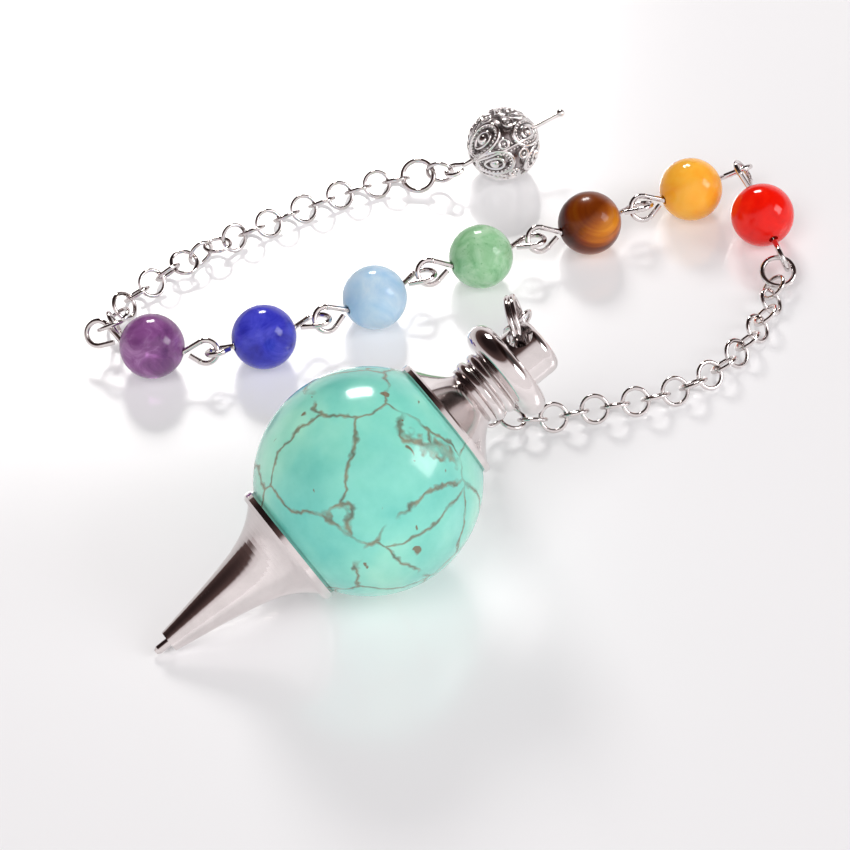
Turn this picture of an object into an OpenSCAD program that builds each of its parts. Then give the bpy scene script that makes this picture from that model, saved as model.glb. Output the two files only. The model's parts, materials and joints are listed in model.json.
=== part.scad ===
// Chakra pendulum: a stone ball pendulum and its chain of seven stone beads, laid down on a table.
// Millimetres, Z up. The table top is Z = 0, and the stone ball rests on it above the origin.
// Each link, eye pin, bead and fitting is its own solid, hooked through its neighbours.

/* [Pendulum body] */
// Diameter of the turned stone ball
ball_d = 19.8; // [18:0.1:21]
// How far the body's axis leans up from the table, in degrees
axis_tilt = 24; // [22:0.5:26]
// Where the knob end points, seen from above, in degrees
axis_heading = 31.5; // [25:0.5:40]
// Diameter of the two rims that grip the ball
rim_d = 11.5; // [9:0.1:13]
// Distance from the ball's centre to the front of each rim
rim_at = 8.2; // [7.8:0.1:8.6]
// Thickness of each rim
rim_t = 1.1; // [0.6:0.1:1.6]
// Distance from the ball's centre to the end of the point
point_reach = 23.4; // [21:0.1:25]
// Diameter of the point where the nib starts
point_end_d = 2.0; // [1.6:0.1:2.6]
// Diameter of the nib
nib_d = 0.8; // [0.6:0.05:1]
// Length of the nib that shows
nib_l = 1.5; // [1:0.1:2]
// Diameter of the cap's neck
neck_d = 5.0; // [4:0.1:6]
// Distance from the ball's centre to the top of the neck
neck_at = 11.5; // [11.2:0.1:12.4]
// Diameter of the two collar rings
collar_d = 6.2; // [5.4:0.1:7]
// Thickness of each collar ring
collar_t = 1.1; // [1:0.1:1.6]
// Diameter of the knob's round disc
disc_d = 9.3; // [8:0.1:10.5]
// Thickness of the knob's round disc
disc_t = 2.4; // [1.8:0.1:3]
// Diameter of the knob's end
end_d = 5.2; // [4.8:0.1:6]
// Length of the knob's end
end_l = 2.9; // [2.8:0.1:4]
// Diameter of the cross hole for the split ring
eye_d = 2.3; // [2.2:0.1:2.6]

/* [Split ring] */
// Outer diameter of the split ring
bail_d = 5.2; // [4.8:0.1:5.6]
// Wire of the split ring, wound in two turns
bail_wire = 0.5; // [0.4:0.05:0.6]
// Direction of the ring around the body's axis, in degrees
bail_roll = 112; // [100:1:140]

/* [Cable chain] */
// Outer diameter of a link
link_d = 2.85; // [2.6:0.05:3]
// Wire of a link
link_wire = 0.4; // [0.3:0.02:0.46]
// Distance from one link to the next
pitch = 1.94; // [1.85:0.01:2]
// Outer diameter of the two jump rings
jump_d = 3.5; // [3.2:0.1:3.8]
// Wire of the jump rings
jump_wire = 0.5; // [0.4:0.05:0.6]

/* [Stone beads] */
// Diameter of a bead
bead_d = 6.0; // [5:0.1:8]
// Hole drilled through a bead
bead_hole = 0.9; // [0.7:0.05:1.2]
// Wire of the eye pins
pin_wire = 0.5; // [0.4:0.05:0.6]

/* [Filigree ball] */
// Outer diameter of the filigree ball
fili_d = 7.2; // [6:0.1:8]
// Thickness of its pierced skin
fili_skin = 0.35; // [0.25:0.05:0.5]
// Number of ribs that run from pole to pole
fili_ribs = 6; // [4:1:8]

/* [Look] */
// Turquoise stone
stone_colour = [0.50, 0.80, 0.74];
// Plated metal
metal_colour = [0.80, 0.78, 0.78];

/* [Hidden] */
$fn = 64;
fit = 0.03;                          // gap left wherever one piece sits in or on another
ball_r = ball_d / 2;
disc_at = neck_at + 0.3 + 2 * collar_t + disc_t / 2;
end_at = disc_at + disc_t / 2;       // where the knob's end starts
eye_at = end_at + 1.45;              // the cross hole, along the axis
eye_off = 1.1;                       // and off it
bail_r = (bail_d - bail_wire) / 2;   // to the middle of the wire
link_r = (link_d - link_wire) / 2;
jump_r = (jump_d - jump_wire) / 2;
chain_z = link_r * sin(45) + link_wire / 2 + 0.01;
stud_d = 1.6;

// Lower chain, from the split ring down to the table and round to the red bead. Each table is
// looked up by the link's number: the way it heads, how steeply it falls, and its extra roll.
lower_start = [13.3, 12.2, 17.6];
lower_links = 27;
lower_head = [[0, 100], [1, 126], [5, 174], [6, 162], [7, 64], [8, 34], [9, 0], [10, 2],
    [11, 14], [12, 17], [14, 13], [16, 19], [18, 32], [20, 48], [22, 57], [24, 66], [26, 85]];
lower_fall = [[0, 76], [1, 72], [6, 72], [7, 64], [8, 40], [9, 24], [10, 20]];
lower_roll = [[0, 0], [3, 14], [6, 86], [7, -16], [8, -52], [9, -42], [10, 0]];
lower_rise = [[0, 0]];
// Upper chain, from the amethyst's eye down to the table and along to the filigree ball. Where
// it turns over, its links stand on edge and ride a little higher.
upper_start = [-24, 25, 4];
upper_links = 20;
upper_head = [[0, 85], [2, 84], [3, 66], [4, 46], [6, 41], [9, 37], [12, 33], [16, 28], [19, 16]];
upper_fall = [[0, 40], [1, 44], [2, 34], [3, 10]];
upper_roll = [[0, 20], [3, 0], [5, 0], [11, -90]];
upper_rise = [[5, 0], [6, 0.2], [8, 0.38], [9, 0.36], [10, 0.26], [11, 0.12], [12, 0]];

// Beads: [x, y, heading, rise of the far end, roll of the near eye, roll of the far eye].
AMETHYST = [-20.1, 23.4, -14, 0, 45, 40];
BLUE = [-9.9, 24.6, 24, 0, -30, -20];
LIGHT_BLUE = [0.2, 29.8, 33, 0, 45, -20];
GREEN = [10.1, 35.3, 24, 0, 45, -20];
TIGER_EYE = [20.4, 39.9, 25, 0, 45, -32];
ORANGE = [30.2, 44.6, 27, 2, 45, -50];
RED = [36.8, 41, 108, 10, 70, 50];
// Eyes: [radius of the bend, distance from the bead to the bend's centre, sideways turn].
EYE = [1.15, 2.3, 0];
SMALL_EYE = [0.85, 1.7, 0];
AMETHYST_NEAR_EYE = [1.15, 2.3, -10];
AMETHYST_FAR_EYE = [1.05, 2.05, 14];

// ---- routes -------------------------------------------------------------------------------

// Points where neighbouring links cross. A link that would fall under the table lies on it.
function crossings(p, n, head, fall, rise, i = 0) =
    i > n ? [] :
    let (h = lookup(i, head),
         table = chain_z + lookup(i + 1, rise),
         step = max(-pitch * sin(lookup(i, fall)), table - p[2]),
         along = sqrt(pitch * pitch - step * step))
    concat([p], crossings(p + [along * cos(h), along * sin(h), step], n, head, fall, rise, i + 1));

lower_route = crossings(lower_start, lower_links, lower_head, lower_fall, lower_rise);
upper_route = crossings(upper_start, upper_links, upper_head, upper_fall, upper_rise);

function centre(b) = [b[0], b[1], bead_d / 2];
function length(v) = sqrt(v * v);

// ---- shared shapes ------------------------------------------------------------------------

module ring(r, wire) rotate_extrude() translate([r, 0]) circle(d = wire);

// Turns +X to the direction v, and rolls about it.
module aim(v, roll = 0)
    rotate([0, -asin(v[2] / length(v)), atan2(v[1], v[0])]) rotate([roll, 0, 0]) children();

module link(a, b, roll) translate((a + b) / 2) aim(b - a, roll) ring(link_r, link_wire);

// Links i and i + 1 of a chain. Neighbours lie square to each other, each half upright.
module chain_pair(route, roll, i)
    color(metal_colour) for (k = [i : min(i + 1, len(route) - 2)])
        link(route[k], route[k + 1], (k % 2 == 0 ? -45 : 45) + lookup(k, roll));

// The pendulum's own frame: +Z runs up its axis from the ball's centre.
module on_axis() translate([0, 0, ball_r]) rotate([0, 90 - axis_tilt, axis_heading]) children();

// A turned piece. The outline is a list of [radius, distance along the axis].
module turned(outline) rotate_extrude() polygon(outline);

// An open wire eye: a bend with two legs that meet at the bead. One leg is cut just short.
module eye(e, wire) {
    meet = acos(e[0] / e[1]);
    leg = sqrt(e[1] * e[1] - e[0] * e[0]);
    cut = 1.3 * wire;
    knuckle = wire + 0.05;
    translate([e[1], 0, 0]) rotate([0, 0, meet - 180])
        rotate_extrude(angle = 360 - 2 * meet) translate([e[0], 0]) circle(d = wire);
    for (side = [1, -1]) rotate([0, 0, side * (90 - meet)]) {
        from = side > 0 ? 0 : cut;
        translate([from, 0, 0]) rotate([0, 90, 0]) cylinder(h = leg - from - 0.02, d = wire);
        translate([leg, 0, 0]) rotate([0, 90, 0]) sphere(d = knuckle);
    }
    rotate([0, 90, 0]) sphere(d = knuckle);
}

// A bead's place, with +X along its pin.
module at_bead(b) translate(centre(b)) rotate([0, -b[3], b[2]]) children();

module eye_pin(b, near = EYE, far = EYE) color(metal_colour) at_bead(b) {
    half = bead_d / 2;
    translate([-half, 0, 0]) rotate([0, 90, 0]) cylinder(h = 2 * half, d = pin_wire);
    translate([half, 0, 0]) rotate([0, 0, far[2]]) rotate([b[5], 0, 0]) eye(far, pin_wire);
    translate([-half, 0, 0]) rotate([0, 0, near[2]]) rotate([b[4], 0, 0]) mirror([1, 0, 0])
        eye(near, pin_wire);
}

module bead(b, stone) color(stone) at_bead(b) rotate([0, 90, 0]) difference() {
    sphere(d = bead_d);
    cylinder(h = bead_d + 1, d = bead_hole, center = true);
}

// ---- pendulum body ------------------------------------------------------------------------

// A trumpet outline that narrows fast at first and then steadily.
function flare(t, end_r, length, wide) =
    end_r + (length - t) * 0.164 + wide * exp(-t / 1.9);

module stone_ball() color(stone_colour) on_axis() difference() {
    sphere(d = ball_d, $fn = 128);
    cylinder(h = ball_d + 1, d = stud_d + 2 * fit, center = true);
}

module point_cone() {
    front = -rim_at;
    back = front - rim_t;
    length = point_reach - nib_l - rim_at - rim_t;
    steps = 24;
    color(metal_colour) on_axis() difference() {
        turned([[0, front], [rim_d / 2 - 0.3, front], [rim_d / 2, front - 0.3],
            [rim_d / 2, back + 0.3], [rim_d / 2 - 0.3, back],
            for (i = [0 : steps]) let (t = length * pow(i / steps, 1.6))
                [flare(t, point_end_d / 2, length, 1.9), back - t],
            [0, back - length]]);
        sphere(r = ball_r + fit, $fn = 128);
        translate([0, 0, -13]) cylinder(h = 13, d = stud_d);
        translate([0, 0, -point_reach]) cylinder(h = nib_l + 2 + fit, d = nib_d);
    }
}

module point_nib() color(metal_colour) on_axis() translate([0, 0, -point_reach])
    turned([[0, 0], [0.22, 0.05], [nib_d / 2, 0.35], [nib_d / 2, nib_l + 2], [0, nib_l + 2]]);

module top_cap() {
    steps = 16;
    slope = (rim_d / 2 - 0.5 - neck_d / 2);
    rise = neck_at - rim_at - 0.7;
    color(metal_colour) on_axis() difference() {
        turned([[0, rim_at], [rim_d / 2 - 0.15, rim_at], [rim_d / 2, rim_at + 0.15],
            [rim_d / 2, rim_at + 0.55], [rim_d / 2 - 0.15, rim_at + 0.7],
            for (i = [0 : steps]) let (t = i / steps)
                [neck_d / 2 + slope * pow(1 - t, 1.5), rim_at + 0.7 + rise * t],
            [0, neck_at]]);
        sphere(r = ball_r + fit, $fn = 128);
        cylinder(h = 11.2, d = stud_d);
        translate([0, 0, 11]) cylinder(h = 2, d = stud_d + 2 * fit);
    }
}

// A rounded ring that sits on the axis with its lower face at z.
module collar(z) color(metal_colour) on_axis() translate([0, 0, z]) difference() {
    rotate_extrude() {
        square([collar_d / 2 - collar_t / 2 + 0.15, collar_t]);
        translate([collar_d / 2 - collar_t / 2, collar_t / 2]) circle(d = collar_t - 0.1);
    }
    translate([0, 0, -1]) cylinder(h = collar_t + 2, d = stud_d + 2 * fit);
}

module lower_collar() collar(neck_at + 0.3);
module upper_collar() collar(neck_at + 0.3 + collar_t);

module neck_washer() color(metal_colour) on_axis() translate([0, 0, neck_at]) difference() {
    cylinder(h = 0.3, d = neck_d + 0.7);
    translate([0, 0, -1]) cylinder(h = 2, d = stud_d + 2 * fit);
}

module knob_disc() color(metal_colour) on_axis() translate([0, 0, disc_at]) difference() {
    rotate_extrude() {
        translate([0, -disc_t / 2]) square([disc_d / 2 - disc_t / 2, disc_t]);
        translate([disc_d / 2 - disc_t / 2, 0]) circle(d = disc_t);
    }
    cylinder(h = disc_t + 2, d = stud_d + 2 * fit, center = true);
}

module knob_end() {
    round_r = 0.9;
    color(metal_colour) on_axis() difference() {
        union() {
            translate([0, 0, end_at]) cylinder(h = end_l - round_r, d = end_d);
            translate([0, 0, end_at + end_l - round_r]) {
                cylinder(h = round_r, d = end_d - 2 * round_r);
                ring(end_d / 2 - round_r, 2 * round_r);
            }
            translate([0, 0, 11.3]) cylinder(h = end_at - 11, d = stud_d);
        }
        rotate([0, 0, bail_roll]) translate([eye_off, 0, eye_at]) rotate([90, 0, 0])
            cylinder(h = 2 * end_d, d = eye_d, center = true);
    }
}

module core_stud() color(metal_colour) on_axis()
    translate([0, 0, -13]) cylinder(h = 24, d = stud_d);

// Two turns of wire, hooked through the cross hole and leaning a little.
module split_ring() color(metal_colour) on_axis()
    rotate([0, 0, bail_roll]) translate([eye_off, 0, eye_at]) rotate([0, -24, 0])
        rotate([-5, 0, 0]) translate([bail_r - 0.65, 0, 0])
            for (side = [1, -1]) translate([0, 0, side * (bail_wire / 2 - 0.01)])
                ring(bail_r, bail_wire);

// ---- chains and their fittings ------------------------------------------------------------

module lower_chain(i) chain_pair(lower_route, lower_roll, i);
module upper_chain(i) chain_pair(upper_route, upper_roll, i);

module lower_jump_ring() color(metal_colour) translate([38, 34.8, 1.5]) rotate([20, 0, 0])
    ring(jump_r, jump_wire);

module upper_jump_ring() color(metal_colour) translate([4.2, 48.1, 1.55])
    rotate([35, 0, 0]) rotate([0, -5, 0]) ring(jump_r, jump_wire);

module end_link() color(metal_colour) translate([6.3, 48.1, 2])
    rotate([0, -55, -15]) rotate([100, 0, 0]) ring(link_r, link_wire);

// ---- beads and their pins -----------------------------------------------------------------

module red_pin() eye_pin(RED);
module red_bead() bead(RED, [0.85, 0.10, 0.06]);
module orange_pin() eye_pin(ORANGE);
module orange_bead() bead(ORANGE, [0.95, 0.55, 0.20]);
module tiger_eye_pin() eye_pin(TIGER_EYE);
module tiger_eye_bead() bead(TIGER_EYE, [0.45, 0.20, 0.05]);
module green_pin() eye_pin(GREEN);
module green_bead() bead(GREEN, [0.55, 0.75, 0.55]);
module light_blue_pin() eye_pin(LIGHT_BLUE);
module light_blue_bead() bead(LIGHT_BLUE, [0.62, 0.75, 0.88]);
module blue_pin() eye_pin(BLUE, SMALL_EYE, EYE);
module blue_bead() bead(BLUE, [0.20, 0.20, 0.65]);
module amethyst_pin() eye_pin(AMETHYST, AMETHYST_NEAR_EYE, AMETHYST_FAR_EYE);
module amethyst_bead() bead(AMETHYST, [0.55, 0.35, 0.60]);

// ---- filigree ball ------------------------------------------------------------------------

// The ball's frame: +Z runs up the pin, from the eye to the free end.
module at_filigree() translate([12.4, 50.4, fili_d / 2]) rotate([0, 78, 28]) children();

module filigree_pin() color(metal_colour) at_filigree() {
    eye_end = fili_d / 2 + 0.7;
    free_end = fili_d / 2 + 2.8;
    translate([0, 0, -eye_end]) cylinder(h = eye_end + free_end, d = pin_wire);
    translate([0, 0, free_end]) sphere(d = 0.85);
    translate([0, 0, -eye_end]) rotate([0, 90, -10]) eye([0.75, 1.2], pin_wire);
}

// A pierced skin with ribs that run nearly from pole to pole.
module filigree_ball() {
    skin_r = fili_d / 2 - 0.12;
    sector = 360 / fili_ribs;
    color(metal_colour) at_filigree() {
        difference() {
            sphere(r = skin_r);
            sphere(r = skin_r - fili_skin);
            cylinder(h = fili_d + 1, d = pin_wire + 0.3, center = true);
            for (i = [0 : fili_ribs - 1]) rotate([0, 0, (i + 0.5) * sector])
                for (hole = [[40, 0.9], [65, 1.1], [90, 1.5], [115, 1.1], [140, 0.9]])
                    rotate([0, hole[0], 0]) cylinder(h = fili_d, d = hole[1]);
        }
        for (i = [0 : fili_ribs - 1]) rotate([90, 0, i * sector]) rotate([0, 0, -78])
            rotate_extrude(angle = 156) translate([skin_r - 0.03, 0]) circle(d = 0.3);
    }
}

// ---- assembly -----------------------------------------------------------------------------

stone_ball();
point_cone();
point_nib();
top_cap();
neck_washer();
lower_collar();
upper_collar();
knob_disc();
knob_end();
core_stud();
split_ring();
for (i = [0 : 2 : lower_links - 1])
    lower_chain(i);
lower_jump_ring();
red_pin();
red_bead();
orange_pin();
orange_bead();
tiger_eye_pin();
tiger_eye_bead();
green_pin();
green_bead();
light_blue_pin();
light_blue_bead();
blue_pin();
blue_bead();
amethyst_pin();
amethyst_bead();
for (i = [0 : 2 : upper_links - 1])
    upper_chain(i);
upper_jump_ring();
end_link();
filigree_pin();
filigree_ball();
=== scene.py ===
"""Chakra pendulum on a pale table: camera, light, materials and the openwork filigree ball."""

import json
import math

import bmesh
import bpy
from mathutils import Matrix, Vector


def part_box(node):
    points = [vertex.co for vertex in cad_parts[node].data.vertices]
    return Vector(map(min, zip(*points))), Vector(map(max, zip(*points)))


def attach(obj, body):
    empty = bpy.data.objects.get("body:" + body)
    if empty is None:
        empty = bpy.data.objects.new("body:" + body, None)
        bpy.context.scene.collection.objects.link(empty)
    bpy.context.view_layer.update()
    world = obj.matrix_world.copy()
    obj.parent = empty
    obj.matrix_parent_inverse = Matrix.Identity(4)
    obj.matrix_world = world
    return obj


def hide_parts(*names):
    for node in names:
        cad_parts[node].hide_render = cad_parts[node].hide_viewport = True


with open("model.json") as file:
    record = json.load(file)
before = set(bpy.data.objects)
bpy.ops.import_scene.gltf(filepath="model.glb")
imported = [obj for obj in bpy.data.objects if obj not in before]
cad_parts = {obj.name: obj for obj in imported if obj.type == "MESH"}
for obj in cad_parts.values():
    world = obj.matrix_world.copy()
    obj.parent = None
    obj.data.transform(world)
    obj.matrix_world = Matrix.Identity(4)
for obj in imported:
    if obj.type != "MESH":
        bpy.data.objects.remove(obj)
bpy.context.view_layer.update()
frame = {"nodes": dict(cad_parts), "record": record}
nodes = frame["nodes"]
MM = 0.001

# ---- camera --------------------------------------------------------------------------------
# Looks at the middle of the lay from 46 degrees above the table.
LOOK_AT = Vector((4.86, 16.27, 0)) * MM
ELEVATION = math.radians(46)
DISTANCE = 345 * MM
FOCAL_LENGTH = 161.1

cam_data = bpy.data.cameras.new("camera")
cam_data.lens = FOCAL_LENGTH
cam_data.sensor_width = 36
cam_data.clip_start = 0.01
cam_data.clip_end = 20
cam = bpy.data.objects.new("camera", cam_data)
bpy.context.scene.collection.objects.link(cam)
cam.location = LOOK_AT + Vector((0, -math.cos(ELEVATION), math.sin(ELEVATION))) * DISTANCE
cam.rotation_euler = (math.radians(90) - ELEVATION, 0, 0)
bpy.context.scene.camera = cam
bpy.context.scene.view_settings.view_transform = "Standard"

# ---- light ---------------------------------------------------------------------------------


def softbox(name, towards, distance, size, power, colour=(1, 1, 1)):
    """A rectangular light facing the middle of the lay, with distance and size in metres."""
    data = bpy.data.lights.new(name, "AREA")
    data.shape = "RECTANGLE"
    data.size, data.size_y = size
    data.energy = power
    data.color = colour
    light = bpy.data.objects.new(name, data)
    bpy.context.scene.collection.objects.link(light)
    away = Vector(towards).normalized()
    light.location = LOOK_AT + away * distance
    light.rotation_euler = away.to_track_quat("Z", "Y").to_euler()
    return light


softbox("main_light", towards=(-0.11, 0.80, 0.57), distance=0.5, size=(0.13, 0.10), power=1.25,
        colour=(1, 0.985, 0.96))
softbox("side_light", towards=(0.81, -0.12, 0.57), distance=0.5, size=(0.19, 0.22), power=0.80,
        colour=(0.97, 0.98, 1))
# The fill lights the near sides of the stones and isn't seen in reflections.
front_fill = softbox("front_fill", towards=(-0.35, -0.50, 0.85), distance=0.9, size=(0.40, 0.40),
                     power=3.0)
front_fill.visible_glossy = False

# ---- material helpers ----------------------------------------------------------------------


def new_material(name):
    """An empty node material: (material, nodes, link function, its Principled shader)."""
    material = bpy.data.materials.new(name)
    material.use_nodes = True
    tree = material.node_tree
    shader = tree.nodes["Principled BSDF"]
    return material, tree.nodes, tree.links.new, shader


def noise(n, link, vector, scale, detail, rough=0.5, distortion=0.0):
    """A noise texture; its Fac and Color outputs are both used."""
    node = n.new("ShaderNodeTexNoise")
    node.inputs["Scale"].default_value = scale
    node.inputs["Detail"].default_value = detail
    node.inputs["Roughness"].default_value = rough
    node.inputs["Distortion"].default_value = distortion
    link(vector, node.inputs["Vector"])
    return node


def ramp(n, link, source, stops, smooth="LINEAR"):
    """A colour ramp; stops are (position, (r, g, b)) or (position, grey)."""
    node = n.new("ShaderNodeValToRGB")
    node.color_ramp.interpolation = smooth
    while len(node.color_ramp.elements) < len(stops):
        node.color_ramp.elements.new(0.5)
    for element, (place, colour) in zip(node.color_ramp.elements, stops):
        element.position = place
        if isinstance(colour, (int, float)):
            colour = (colour, colour, colour)
        element.color = (*colour, 1)
    link(source, node.inputs["Fac"])
    return node.outputs["Color"]


def mix(n, link, factor, a, b, mode="MIX"):
    """Mixes two colours, each a socket or a tuple."""
    node = n.new("ShaderNodeMix")
    node.data_type = "RGBA"
    node.blend_type = mode
    if isinstance(factor, (int, float)):
        node.inputs["Factor"].default_value = factor
    else:
        link(factor, node.inputs["Factor"])
    for value, socket in ((a, node.inputs[6]), (b, node.inputs[7])):
        if isinstance(value, tuple):
            socket.default_value = (*value, 1)
        else:
            link(value, socket)
    return node.outputs[2]


def bump(n, link, height, strength, distance):
    """A normal that is raised where height is bright."""
    node = n.new("ShaderNodeBump")
    node.inputs["Strength"].default_value = strength
    node.inputs["Distance"].default_value = distance
    link(height, node.inputs["Height"])
    return node.outputs["Normal"]


def moved(n, link, vector, place=(0, 0, 0), scale=(1, 1, 1), turn=(0, 0, 0)):
    """Texture coordinates after a scale, a turn and a shift."""
    node = n.new("ShaderNodeMapping")
    node.inputs["Location"].default_value = place
    node.inputs["Rotation"].default_value = turn
    node.inputs["Scale"].default_value = scale
    link(vector, node.inputs["Vector"])
    return node.outputs["Vector"]


def along(n, link, vector, direction):
    """How far a vector reaches along a direction: their dot product."""
    node = n.new("ShaderNodeVectorMath")
    node.operation = "DOT_PRODUCT"
    node.inputs[1].default_value = direction
    link(vector, node.inputs[0])
    return node.outputs["Value"]


# ---- room and table ------------------------------------------------------------------------
# Bright walls, and two dark corners up at the back that the metal mirrors.
world = bpy.data.worlds.new("room")
bpy.context.scene.world = world
world.use_nodes = True
room_nodes = world.node_tree.nodes
room_link = world.node_tree.links.new
background = room_nodes["Background"]
background.inputs["Strength"].default_value = 0.98
way = room_nodes.new("ShaderNodeTexCoord").outputs["Generated"]


def dark_corner(towards, stops):
    """Brightness of the room by how near a direction is to the middle of a dark corner."""
    near = along(room_nodes, room_link, way, Vector(towards).normalized())
    return ramp(room_nodes, room_link, near, stops)


left_corner = dark_corner((-0.45, 0.42, 0.79),
                          [(0.25, (1.0, 0.965, 0.975)), (0.48, (0.82, 0.76, 0.77)),
                           (0.60, (0.12, 0.075, 0.07)), (0.92, (0.02, 0.012, 0.012))])
right_corner = dark_corner((0.62, 0.40, 0.68),
                           [(0.78, 1.0), (0.88, (0.22, 0.16, 0.15)), (1.0, 0.05)])
room_link(mix(room_nodes, room_link, 1.0, left_corner, right_corner, "MULTIPLY"),
          background.inputs["Color"])

floor_mat, n, link, bsdf = new_material("pale_table")
bsdf.inputs["Base Color"].default_value = (0.60, 0.595, 0.605, 1)
bsdf.inputs["Roughness"].default_value = 0.18
bsdf.inputs["IOR"].default_value = 1.9
bsdf.inputs["Emission Color"].default_value = (1, 0.99, 1, 1)
bsdf.inputs["Emission Strength"].default_value = 0.29
bpy.ops.mesh.primitive_plane_add(size=4, location=(0, 0, 0))
floor = bpy.context.object
floor.name = "table_top"
floor.data.materials.append(floor_mat)

# ---- materials -----------------------------------------------------------------------------


def plated(name, colour, rough, wear):
    """Bright rhodium-like plating with fine polishing marks and a few duller patches."""
    material, n, link, bsdf = new_material(name)
    place = n.new("ShaderNodeTexCoord").outputs["Object"]
    patches = noise(n, link, place, 260, 5, 0.6, 0.4).outputs["Fac"]
    marks = noise(n, link, place, 3800, 2).outputs["Fac"]
    tint = ramp(n, link, patches, [(0.30, tuple(c * (1 - wear) for c in colour)), (0.62, colour)])
    link(tint, bsdf.inputs["Base Color"])
    link(ramp(n, link, patches, [(0.25, rough * 1.9), (0.55, rough), (0.8, rough * 0.7)]),
         bsdf.inputs["Roughness"])
    link(bump(n, link, marks, 0.05, 0.02 * MM), bsdf.inputs["Normal"])
    bsdf.inputs["Metallic"].default_value = 1.0
    return material


def turquoise():
    """Mint and sea-green stone with brown veins, rust specks and pale clouds."""
    material, n, link, bsdf = new_material("turquoise_stone")
    place = n.new("ShaderNodeTexCoord").outputs["Object"]
    clouds = noise(n, link, place, 95, 3, 0.5, 0.3).outputs["Fac"]
    fine = noise(n, link, place, 900, 4, 0.6).outputs["Fac"]
    body = ramp(n, link, clouds, [(0.34, (0.14, 0.57, 0.49)), (0.50, (0.23, 0.69, 0.57)),
                                  (0.66, (0.38, 0.82, 0.64))])
    body = mix(n, link, 0.10, body, ramp(n, link, fine, [(0.3, 0.15), (0.7, 0.9)]), "SOFT_LIGHT")
    # Veins: edges of stretched cells, bent by noise and fading in and out.
    bend = noise(n, link, place, 340, 3, 0.6).outputs["Color"]
    bent = mix(n, link, 0.0022, place, bend, "ADD")
    cells = n.new("ShaderNodeTexVoronoi")
    cells.feature = "DISTANCE_TO_EDGE"
    cells.inputs["Scale"].default_value = 138
    cells.inputs["Randomness"].default_value = 0.95
    link(bent, cells.inputs["Vector"])
    thickness = noise(n, link, place, 210, 2).outputs["Fac"]
    line = ramp(n, link, cells.outputs["Distance"], [(0.0, 1.0), (0.009, 0.85), (0.026, 0.0)])
    shown = ramp(n, link, thickness, [(0.34, 0.0), (0.44, 1.0)])
    vein = mix(n, link, 1.0, line, shown, "MULTIPLY")
    vein_colour = ramp(n, link, fine, [(0.35, (0.09, 0.035, 0.012)), (0.65, (0.26, 0.15, 0.07))])
    body = mix(n, link, mix(n, link, 1.0, vein, (0.80, 0.80, 0.80), "MULTIPLY"), body, vein_colour)
    # Rust specks.
    specks = noise(n, link, moved(n, link, place, (0.2, 0.1, 0.4)), 520, 2, 0.4, 0.6).outputs["Fac"]
    speck = ramp(n, link, specks, [(0.715, 0.0), (0.745, 0.85)])
    body = mix(n, link, speck, body, (0.20, 0.10, 0.045))
    link(body, bsdf.inputs["Base Color"])
    link(ramp(n, link, vein, [(0.0, 0.17), (1.0, 0.40)]), bsdf.inputs["Roughness"])
    pits = mix(n, link, 0.5, vein, fine, "ADD")
    heights = n.new("ShaderNodeInvert")
    link(pits, heights.inputs["Color"])
    link(bump(n, link, heights.outputs["Color"], 0.10, 0.08 * MM), bsdf.inputs["Normal"])
    bsdf.inputs["Coat Weight"].default_value = 0.25
    bsdf.inputs["Coat Roughness"].default_value = 0.06
    bsdf.inputs["Subsurface Weight"].default_value = 0.12
    bsdf.inputs["Subsurface Radius"].default_value = Vector((0.6, 1.0, 0.9)) * MM
    return material


def gem(name, dark, mid, light, clear, sss, scale, contrast=0.16, flecks=None, seed=0.0, rough=0.05):
    """A polished translucent stone with clouds of colour inside it."""
    material, n, link, bsdf = new_material(name)
    place = moved(n, link, n.new("ShaderNodeTexCoord").outputs["Object"], (seed, seed * 0.7, 0))
    clouds = noise(n, link, place, scale, 5, 0.6, 0.8).outputs["Fac"]
    colour = ramp(n, link, clouds, [(0.5 - contrast, dark), (0.5, mid), (0.5 + contrast, light)])
    if flecks:
        grains = noise(n, link, place, scale * 6, 3, 0.6).outputs["Fac"]
        colour = mix(n, link, ramp(n, link, grains, [(0.62, 0.0), (0.72, 0.7)]), colour, flecks)
    link(colour, bsdf.inputs["Base Color"])
    link(ramp(n, link, clouds, [(0.3, rough), (0.75, rough * 2.2)]), bsdf.inputs["Roughness"])
    link(bump(n, link, clouds, 0.06, 0.04 * MM), bsdf.inputs["Normal"])
    bsdf.inputs["IOR"].default_value = 1.54
    bsdf.inputs["Specular IOR Level"].default_value = 0.22
    bsdf.inputs["Transmission Weight"].default_value = clear
    bsdf.inputs["Subsurface Weight"].default_value = sss
    bsdf.inputs["Subsurface Radius"].default_value = Vector((3.0, 2.4, 2.4)) * MM
    bsdf.inputs["Coat Weight"].default_value = 0.15
    bsdf.inputs["Coat Roughness"].default_value = 0.03
    return material


# The side of the tiger eye where its fibres catch the light; the stone is painted darker away from it,
# as painted shade.
PAINTED_LIGHT_SIDE = Vector((0.75, -0.55, -0.35))


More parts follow.
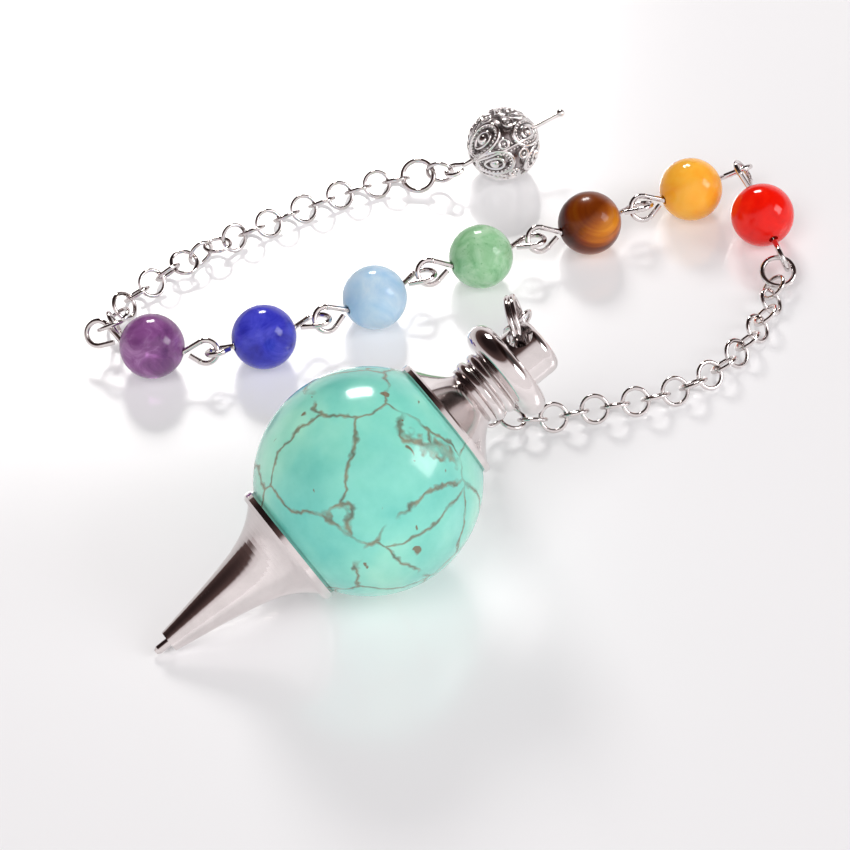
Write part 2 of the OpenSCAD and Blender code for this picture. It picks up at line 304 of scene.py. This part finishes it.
def tiger_eye(across, middle):
    """Silky brown and gold bands across the given direction, painted darker away from the lit side as
    painted shade, so the gold shows on one side.
    """
    material, n, link, bsdf = new_material("tiger_eye_stone")
    place = n.new("ShaderNodeTexCoord").outputs["Object"]
    turn = Vector(across).to_track_quat("X", "Z").inverted().to_euler()
    local = moved(n, link, place, (0, 0, 0), (1, 1, 1), tuple(turn))
    long = moved(n, link, local, (0, 0, 0), (1, 0.10, 0.10))
    bands = noise(n, link, long, 330, 3, 0.5, 0.5).outputs["Fac"]
    thin = moved(n, link, local, (0, 0, 0), (1, 0.06, 0.06))
    fibres = noise(n, link, thin, 5200, 3, 0.6).outputs["Fac"]
    colour = ramp(n, link, bands, [(0.30, (0.12, 0.018, 0.001)), (0.45, (0.42, 0.095, 0.004)),
                                   (0.57, (0.74, 0.27, 0.012)), (0.70, (1.0, 0.52, 0.06))])
    silk = ramp(n, link, fibres, [(0.35, 0.15), (0.65, 0.85)])
    colour = mix(n, link, 0.25, colour, silk, "OVERLAY")
    # Painted shade: dark from the middle away from the lit side, and full gold from 2.6 mm towards it.
    side = along(n, link, moved(n, link, place, tuple(-middle)), PAINTED_LIGHT_SIDE * 100)
    painted_side_shade = ramp(n, link, side, [(0.0, (0.22, 0.11, 0.08)), (0.10, (0.50, 0.34, 0.28)), (0.26, 1.0)])
    colour = mix(n, link, 1.0, colour, painted_side_shade, "MULTIPLY")
    link(colour, bsdf.inputs["Base Color"])
    link(bump(n, link, fibres, 0.10, 0.03 * MM), bsdf.inputs["Normal"])
    bsdf.inputs["Roughness"].default_value = 0.30
    bsdf.inputs["Specular IOR Level"].default_value = 0.15
    bsdf.inputs["Coat Weight"].default_value = 0.3
    bsdf.inputs["Coat Roughness"].default_value = 0.03
    return material


# ---- which material each node wears --------------------------------------------------------
bright = plated("rhodium_body", (0.78, 0.725, 0.715), rough=0.075, wear=0.14)
wire = plated("rhodium_wire", (0.76, 0.71, 0.70), rough=0.09, wear=0.16)
chain = plated("rhodium_chain", (0.74, 0.69, 0.68), rough=0.10, wear=0.16)
filigree = plated("rhodium_filigree", (0.93, 0.90, 0.89), rough=0.10, wear=0.20)
# The lining's dark colour is painted shade for the hollow inside, with some real oxide.
shade = plated("filigree_inside_oxide_and_painted_shade", (0.46, 0.41, 0.41), rough=0.22, wear=0.60)

joints = {j["name"]: j for j in frame["record"]["behaviour"]["joints"]}

stones = {
    "stone_ball": turquoise(),
    "red_bead": gem("red_stone", (0.62, 0.004, 0.002), (0.82, 0.008, 0.002), (0.95, 0.025, 0.006),
                    clear=0.0, sss=0.25, scale=260, contrast=0.30, seed=0.3),
    "orange_bead": gem("orange_stone", (0.98, 0.34, 0.02), (1.0, 0.46, 0.045), (1.0, 0.54, 0.09),
                       clear=0.05, sss=0.5, scale=240, contrast=0.30, seed=0.9),
    "tiger_eye_bead": tiger_eye((0.25, -0.35, 0.90),
                                Vector(joints["tiger_eye_bead_spin"]["pos_m"])),
    "green_bead": gem("green_stone", (0.24, 0.54, 0.27), (0.36, 0.66, 0.38), (0.50, 0.76, 0.51),
                      clear=0.20, sss=0.5, scale=520, flecks=(0.16, 0.42, 0.20), seed=1.7, rough=0.08),
    "light_blue_bead": gem("light_blue_stone", (0.38, 0.62, 0.86), (0.50, 0.71, 0.90),
                           (0.64, 0.80, 0.94), clear=0.15, sss=0.6, scale=260, seed=2.2),
    "blue_bead": gem("blue_stone", (0.024, 0.022, 0.36), (0.042, 0.045, 0.52), (0.08, 0.085, 0.66),
                     clear=0.10, sss=0.4, scale=330, seed=3.1),
    "amethyst_bead": gem("amethyst_stone", (0.19, 0.06, 0.21), (0.32, 0.11, 0.34), (0.52, 0.26, 0.54),
                         clear=0.35, sss=0.35, scale=300, seed=4.4),
}


def dress(node, material):
    """Puts a material on every slot of a CAD node."""
    slots = nodes[node].material_slots
    if len(slots) == 0:
        nodes[node].data.materials.append(material)
    for s in slots:
        s.material = material


metals = {"plated_metal": bright, "wire_metal": wire, "chain_metal": chain, "filigree_metal": filigree}
for part in frame["record"]["subparts"]:
    node = part["node"]
    dress(node, stones[node] if node in stones else metals[part["material_slot"]])

# ---- filigree ball -------------------------------------------------------------------------
# Openwork made of bent wire loops edged with fine grains, all on one sphere. U runs round the
# pin and T runs from the free end's pole (0) to the eye's pole (180), in degrees.
spin = joints["filigree_ball_spin"]
ball_at = Vector(spin["pos_m"])
ball_r = (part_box("filigree_ball")[1][2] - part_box("filigree_ball")[0][2]) / 2
pin_way = Vector(spin["axis"])
to_world = Matrix.Translation(ball_at) @ pin_way.to_track_quat("Z", "Y").to_matrix().to_4x4()
# The wires' middle lines lie at this radius, and the tallest grains just reach the CAD ball's surface.
wire_r = ball_r - 0.22 * MM

WIRE_SIDES = 8
LEAVES = 6
LEAF_STEP = 360 / LEAVES
FIRST_LEAF_U = 12
# A leaf's outer and inner outline: first T, last T, half width in ball radii, wire radius.
OUTER_LEAF = (14, 82, 0.40, 0.19 * MM)
INNER_LEAF = (32, 66, 0.19, 0.15 * MM)
LEAF_GRAIN = 0.15 * MM
DOME_T, DOME_R, DOME_SQUASH = 50, 0.50 * MM, 0.45
RING_T, RING_R, RING_POINTS = 78, 0.46 * MM, 14
COLLAR_T, COLLAR_STEP = 13, 20
SEAM_U, SEAM_STEP = 142, 6
SEAM_GRAIN = 0.12 * MM


def on_ball(t, u, r):
    """The point at radius r in the direction (t, u)."""
    t, u = math.radians(t), math.radians(u)
    return Vector((math.sin(t) * math.cos(u), math.sin(t) * math.sin(u), math.cos(t))) * r


def add_wire(bm, path, radius, flat=1.0):
    """Sweeps a closed round wire along points that lie on the ball; flat squashes it against it."""
    rings = []
    for i, p in enumerate(path):
        out = p.normalized()
        side = (path[(i + 1) % len(path)] - path[i - 1]).normalized().cross(out).normalized()
        turns = (2 * math.pi * k / WIRE_SIDES for k in range(WIRE_SIDES))
        rings.append([bm.verts.new(p + side * radius * math.cos(a) + out * radius * flat * math.sin(a))
                      for a in turns])
    for ring, after in zip(rings, rings[1:] + rings[:1]):
        for k in range(WIRE_SIDES):
            bm.faces.new((ring[k], ring[(k + 1) % WIRE_SIDES], after[(k + 1) % WIRE_SIDES], after[k]))


def add_grain(bm, at, radius, squash=1.0, level=1):
    """A tiny soldered ball, or a low dome where squash is under 1."""
    turn = at.normalized().to_track_quat("Z", "Y").to_matrix().to_4x4()
    place = Matrix.Translation(at) @ turn @ Matrix.Diagonal((1, 1, squash, 1))
    bmesh.ops.create_icosphere(bm, subdivisions=level, radius=radius, matrix=place)


def leaf(t0, t1, u, wide, count=30):
    """A closed leaf outline from t0 to t1, centred on the meridian u. wide is in ball radii."""
    points = []
    for i in range(count):
        a = 2 * math.pi * i / count
        t = (t0 + t1) / 2 - (t1 - t0) / 2 * math.cos(a)
        share = (t - t0) / (t1 - t0)
        half = wide * math.sin(a) * (0.62 + 0.55 * share)
        points.append((t, u + math.degrees(half / max(0.2, math.sin(math.radians(t))))))
    return points


def add_leaf(bm, pole, u):
    """Two nested outlines, grains along the inside of the outer one and a low dome in the middle."""
    for t0, t1, wide, thick in (OUTER_LEAF, INNER_LEAF):
        line = [on_ball(abs(pole - t), v, wire_r) for t, v in leaf(t0, t1, u, wide)]
        add_wire(bm, line, thick, flat=0.9)
    t0, t1, wide, _ = OUTER_LEAF
    for t, v in leaf(t0 + 4, t1 - 5, u, wide * 0.80, 26):
        add_grain(bm, on_ball(abs(pole - t), v, wire_r), LEAF_GRAIN)
    add_grain(bm, on_ball(abs(pole - DOME_T), u, wire_r), DOME_R, DOME_SQUASH, level=2)


def add_between(bm, pole, u):
    """Between two leaves: a ring with a grain in it near the waist, and three more grains."""
    hub = on_ball(abs(pole - RING_T), u, wire_r)
    turn = hub.normalized().to_track_quat("Z", "Y")
    circle = [hub + turn @ Vector((math.cos(a), math.sin(a), 0)) * RING_R
              for a in (2 * math.pi * k / RING_POINTS for k in range(RING_POINTS))]
    add_wire(bm, [p.normalized() * wire_r for p in circle], 0.15 * MM)
    add_grain(bm, hub, 0.20 * MM)
    for k in range(3):
        add_grain(bm, on_ball(abs(pole - (26 + 12 * k)), u, wire_r), (0.18 + 0.03 * k) * MM)


def add_seam(bm):
    """The smooth seam between the two stamped halves, edged with grains on both sides."""
    far = SEAM_U + 180
    seam = [on_ball(t if t <= 180 else 360 - t, SEAM_U if t <= 180 else far, wire_r + 0.04 * MM)
            for t in range(0, 360, SEAM_STEP)]
    add_wire(bm, seam, 0.15 * MM, flat=0.8)
    for t in range(18, 164, SEAM_STEP):
        aside = math.degrees(0.085 / math.sin(math.radians(t)))
        for u in (SEAM_U - aside, far - aside, SEAM_U + aside, far + aside):
            add_grain(bm, on_ball(t, u, wire_r), SEAM_GRAIN)


def build_filigree():
    """The whole openwork as one object, in world coordinates."""
    bm = bmesh.new()
    for pole in (0, 180):
        for i in range(LEAVES):
            u = LEAF_STEP * i + (LEAF_STEP / 2 if pole else 0) + FIRST_LEAF_U
            add_leaf(bm, pole, u)
            add_between(bm, pole, u + LEAF_STEP / 2)
        add_wire(bm, [on_ball(abs(pole - COLLAR_T), u, wire_r) for u in range(0, 360, COLLAR_STEP)],
                 0.16 * MM)
    add_seam(bm)
    # The lining: a dark sphere inside the openwork for the ball's dull inside seen through the gaps;
    # its darkness is painted shade, with some oxide.
    inside = bmesh.ops.create_icosphere(bm, subdivisions=4, radius=wire_r - 0.45 * MM)["verts"]
    for face in {f for v in inside for f in v.link_faces}:
        face.material_index = 1
    mesh = bpy.data.meshes.new("filigree_openwork")
    bm.transform(to_world)
    bm.to_mesh(mesh)
    bm.free()
    for face in mesh.polygons:
        face.use_smooth = True
    mesh.materials.append(filigree)
    mesh.materials.append(shade)
    piece = bpy.data.objects.new("filigree_openwork", mesh)
    bpy.context.scene.collection.objects.link(piece)
    return piece


openwork = build_filigree()
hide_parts("filigree_ball")
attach(openwork, "filigree_ball")
